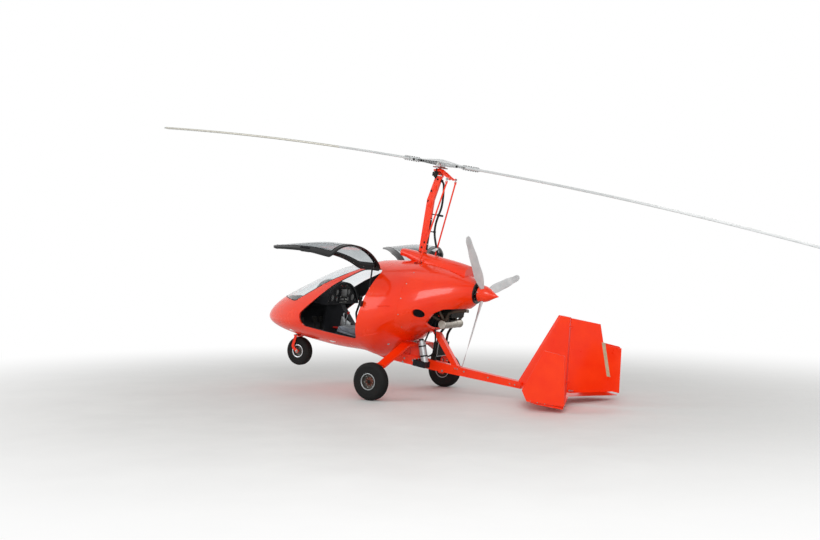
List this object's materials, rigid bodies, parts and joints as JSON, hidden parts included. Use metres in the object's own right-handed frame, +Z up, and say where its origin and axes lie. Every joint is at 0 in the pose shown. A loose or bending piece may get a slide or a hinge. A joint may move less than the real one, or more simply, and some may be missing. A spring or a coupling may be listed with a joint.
{
  "type": "gyrocopter",
  "caption": "Enclosed side-by-side gyrocopter with open gull-wing doors, teetering rotor on a plate mast, pusher propeller and low keel tail, parked nose-up.",
  "frame": {"origin": "on the ground under the rotor hub, in the middle of the rotor's length, parked nose-up on main and tail wheels", "axes": "+X aft along the rotor's length, +Y to starboard, +Z up"},
  "size_m": [8.3754, 2.4032, 3.2553],
  "materials": {
    "orange_gloss": "gloss paint over moulded composite",
    "orange_metal": "gloss paint on welded steel and aluminium",
    "glazing": "clear acrylic",
    "door_glazing": "smoke tinted acrylic",
    "black_frame": "gloss black moulded composite",
    "black_trim": "matt black",
    "seat_fabric": "woven upholstery",
    "tyre_rubber": "worn rubber",
    "dark_rim": "satin painted alloy",
    "bare_aluminium": "machined",
    "white_blade": "satin white paint",
    "prop_white": "gloss gelcoat",
    "engine_dark": "dark castings",
    "silencer": "stainless steel",
    "steel_rod": "ground and plated"
  },
  "bodies": {
    "airframe": {"cabin_shell": "orange_gloss", "windscreen": "glazing", "engine_cowl": "orange_gloss", "spine_fairing": "orange_gloss", "prop_ring": "black_frame", "bulkheads": "black_trim", "cabin_floor": "black_trim", "instrument_panel": "black_trim", "seats": "black_trim", "seat_cushions": "seat_fabric", "keel_boom": "orange_metal", "gear_bow": "orange_metal", "stabiliser": "orange_metal", "end_plates": "orange_metal", "fin": "orange_metal", "mast": "orange_metal", "engine_block": "engine_dark", "muffler": "silencer", "battery_box": "black_trim", "oil_canister": "bare_aluminium", "radiator": "black_trim", "door_brackets": "black_frame"},
    "main_wheel_left": {"tyre_left": "tyre_rubber", "rim_left": "dark_rim"},
    "main_wheel_right": {"tyre_right": "tyre_rubber", "rim_right": "dark_rim"},
    "nose_leg": {"nose_fork": "orange_metal"},
    "nose_wheel": {"nose_tyre": "tyre_rubber", "nose_rim": "dark_rim"},
    "tail_wheel_body": {"tail_wheel": "tyre_rubber"},
    "rudder_body": {"rudder": "orange_metal"},
    "door_left": {"door_frame_left": "black_frame", "door_glass_left": "door_glazing"},
    "door_right": {"door_frame_right": "black_frame", "door_glass_right": "door_glazing"},
    "spring_cylinder_left": {"spring_cylinder_left": "black_trim"},
    "spring_cylinder_right": {"spring_cylinder_right": "black_trim"},
    "spring_rod_left": {"spring_rod_left": "steel_rod"},
    "spring_rod_right": {"spring_rod_right": "steel_rod"},
    "gimbal_body": {"gimbal": "bare_aluminium"},
    "rotor_head_body": {"rotor_head": "bare_aluminium"},
    "rotor": {"rotor_tower": "bare_aluminium"},
    "rotor_blade_pair": {"hub_bar": "bare_aluminium", "rotor_blades": "white_blade"},
    "rod_eye_left_body": {"rod_eye_left": "bare_aluminium"},
    "rod_eye_right_body": {"rod_eye_right": "bare_aluminium"},
    "control_rod_left_body": {"control_rod_left": "orange_metal"},
    "control_rod_right_body": {"control_rod_right": "orange_metal"},
    "propeller_body": {"propeller": "prop_white", "spinner": "orange_gloss"}
  },
  "joints": [
    {"name": "main_wheel_left_spin", "type": "hinge", "parent": "airframe", "child": "main_wheel_left", "pos_m": [-0.4048, -0.7975, 0.204], "axis": [0, 1, 0], "continuous": true},
    {"name": "main_wheel_right_spin", "type": "hinge", "parent": "airframe", "child": "main_wheel_right", "pos_m": [-0.4048, 0.7975, 0.204], "axis": [0, 1, 0], "continuous": true},
    {"name": "nose_steering", "type": "hinge", "parent": "airframe", "child": "nose_leg", "pos_m": [-1.9664, 0, 0.64092], "axis": [0.1633, 0, 0.9866], "range_deg": [-25, 25]},
    {"name": "nose_wheel_spin", "type": "hinge", "parent": "nose_leg", "child": "nose_wheel", "pos_m": [-1.95498, 0, 0.41603], "axis": [0, 1, 0], "continuous": true},
    {"name": "tail_wheel_spin", "type": "hinge", "parent": "airframe", "child": "tail_wheel_body", "pos_m": [1.21176, 0, 0.05], "axis": [0, 1, 0], "continuous": true},
    {"name": "rudder_turn", "type": "hinge", "parent": "airframe", "child": "rudder_body", "pos_m": [1.538, 0, 0.11652], "axis": [0.0679, 0, 0.9977], "range_deg": [-25, 25]},
    {"name": "door_left_swing", "type": "hinge", "parent": "airframe", "child": "door_left", "pos_m": [-0.66459, -0.372, 1.45118], "axis": [0.9866, 0, -0.1633], "range_deg": [0, 88]},
    {"name": "spring_left_swing", "type": "hinge", "parent": "door_left", "child": "spring_cylinder_left", "pos_m": [-0.59807, -0.47194, 1.43663], "axis": [0.9866, 0, -0.1633], "range_deg": [-106.96, 1]},
    {"name": "spring_left_stroke", "type": "slide", "parent": "spring_cylinder_left", "child": "spring_rod_left", "axis": [-0.1633, -0.0197, -0.9864], "range_m": [-0.0804, 0.002]},
    {"name": "door_right_swing", "type": "hinge", "parent": "airframe", "child": "door_right", "pos_m": [-0.66459, 0.372, 1.45118], "axis": [-0.9866, 0, 0.1633], "range_deg": [0, 88]},
    {"name": "spring_right_swing", "type": "hinge", "parent": "door_right", "child": "spring_cylinder_right", "pos_m": [-0.59807, 0.47194, 1.43663], "axis": [-0.9866, 0, 0.1633], "range_deg": [-106.96, 1]},
    {"name": "spring_right_stroke", "type": "slide", "parent": "spring_cylinder_right", "child": "spring_rod_right", "axis": [-0.1633, 0.0197, -0.9864], "range_m": [-0.0804, 0.002]},
    {"name": "head_roll", "type": "hinge", "parent": "airframe", "child": "gimbal_body", "pos_m": [-0.02223, 0, 2.46589], "axis": [0.9866, 0, -0.1633], "range_deg": [-8, 8]},
    {"name": "head_pitch", "type": "hinge", "parent": "gimbal_body", "child": "rotor_head_body", "pos_m": [-0.02223, 0, 2.46589], "axis": [0, 1, 0], "range_deg": [-9, 9]},
    {"name": "rod_eye_left_swing", "type": "hinge", "parent": "rotor_head_body", "child": "rod_eye_left_body", "pos_m": [0.13436, -0.1, 2.40169], "axis": [0, 1, 0], "range_deg": [-10, 10]},
    {"name": "control_rod_left_swing", "type": "hinge", "parent": "rod_eye_left_body", "child": "control_rod_left_body", "pos_m": [0.12979, -0.1, 2.37406], "axis": [0.9866, 0, -0.1633], "range_deg": [-9, 9]},
    {"name": "rod_eye_right_swing", "type": "hinge", "parent": "rotor_head_body", "child": "rod_eye_right_body", "pos_m": [0.13436, 0.1, 2.40169], "axis": [0, 1, 0], "range_deg": [-10, 10]},
    {"name": "control_rod_right_swing", "type": "hinge", "parent": "rod_eye_right_body", "child": "control_rod_right_body", "pos_m": [0.12979, 0.1, 2.37406], "axis": [0.9866, 0, -0.1633], "range_deg": [-9, 9]},
    {"name": "rotor_spin", "type": "hinge", "parent": "rotor_head_body", "child": "rotor", "pos_m": [0, 0, 2.57974], "axis": [0.1917, 0, 0.9815], "continuous": true},
    {"name": "rotor_teeter", "type": "hinge", "parent": "rotor", "child": "rotor_blade_pair", "pos_m": [0, 0, 2.57974], "axis": [0.0274, 0.9996, -0.0054], "range_deg": [-7, 7]},
    {"name": "propeller_spin", "type": "hinge", "parent": "airframe", "child": "propeller_body", "pos_m": [0.54162, 0, 1.13898], "axis": [0.9866, 0, -0.1633], "continuous": true}
  ],
  "couplings": [
    {"joint": "nose_steering", "follows": "rudder_turn", "ratio": -1},
    {"joint": "spring_left_swing", "follows": "door_left_swing", "ratio": -1.2041},
    {"joint": "spring_left_stroke", "follows": "door_left_swing", "m_per_rad": -0.051062},
    {"joint": "rod_eye_left_swing", "follows": "head_pitch", "ratio": -1},
    {"joint": "control_rod_left_swing", "follows": "head_roll", "ratio": -1},
    {"joint": "spring_right_swing", "follows": "door_right_swing", "ratio": -1.2041},
    {"joint": "spring_right_stroke", "follows": "door_right_swing", "m_per_rad": -0.051062},
    {"joint": "rod_eye_right_swing", "follows": "head_pitch", "ratio": -1},
    {"joint": "control_rod_right_swing", "follows": "head_roll", "ratio": -1}
  ]
}
